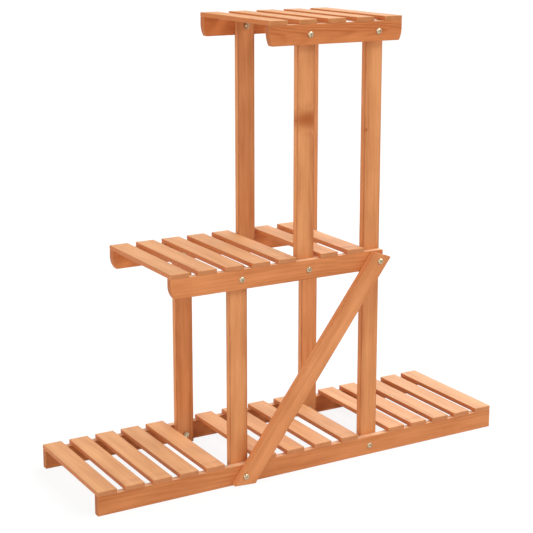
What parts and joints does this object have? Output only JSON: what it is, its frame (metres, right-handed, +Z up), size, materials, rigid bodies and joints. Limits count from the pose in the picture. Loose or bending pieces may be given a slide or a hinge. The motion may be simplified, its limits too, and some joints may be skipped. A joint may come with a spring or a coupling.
{
  "type": "tiered plant stand",
  "caption": "Slatted wooden plant stand with shelves at stepped heights on bolted posts and side rails, stiffened by a diagonal front brace.",
  "frame": {"origin": "on the floor, at the middle of the stand's bounding box", "axes": "+Z up; +X along the shelves from the low end to the tall end; the braced front faces -Y"},
  "size_m": [0.83, 0.2672, 0.808],
  "materials": {
    "slat_wood": "satin honey-brown stain over straight softwood grain",
    "rail_wood": "satin honey-brown stain over straight softwood grain",
    "post_wood": "satin honey-brown stain over straight softwood grain",
    "zinc": "yellowish zinc plating"
  },
  "bodies": {
    "root": {"lower_rail_front": "rail_wood", "lower_rail_rear": "rail_wood", "lower_slat_01": "slat_wood", "lower_slat_02": "slat_wood", "lower_slat_03": "slat_wood", "lower_slat_04": "slat_wood", "lower_slat_05": "slat_wood", "lower_slat_06": "slat_wood", "lower_slat_07": "slat_wood", "lower_slat_08": "slat_wood", "lower_slat_09": "slat_wood", "lower_slat_10": "slat_wood", "lower_slat_11": "slat_wood", "lower_slat_12": "slat_wood", "lower_slat_13": "slat_wood", "lower_slat_14": "slat_wood", "middle_rail_front": "rail_wood", "middle_rail_rear": "rail_wood", "middle_slat_01": "slat_wood", "middle_slat_02": "slat_wood", "middle_slat_03": "slat_wood", "middle_slat_04": "slat_wood", "middle_slat_05": "slat_wood", "middle_slat_06": "slat_wood", "middle_slat_07": "slat_wood", "top_rail_front": "rail_wood", "top_rail_rear": "rail_wood", "top_slat_01": "slat_wood", "top_slat_02": "slat_wood", "top_slat_03": "slat_wood", "top_slat_04": "slat_wood", "top_slat_05": "slat_wood", "short_post_front": "post_wood", "short_post_rear": "post_wood", "upper_post_front": "post_wood", "upper_post_rear": "post_wood", "tall_post_front": "post_wood", "tall_post_rear": "post_wood", "diagonal_brace": "post_wood", "bolt_lower_short_front": "zinc", "bolt_lower_tall_front": "zinc", "bolt_middle_short_front": "zinc", "bolt_middle_upper_front": "zinc", "bolt_middle_tall_front": "zinc", "bolt_top_upper_front": "zinc", "bolt_top_tall_front": "zinc", "bolt_lower_short_rear": "zinc", "bolt_lower_tall_rear": "zinc", "bolt_middle_short_rear": "zinc", "bolt_middle_upper_rear": "zinc", "bolt_middle_tall_rear": "zinc", "bolt_top_upper_rear": "zinc", "bolt_top_tall_rear": "zinc"}
  },
  "joints": []
}
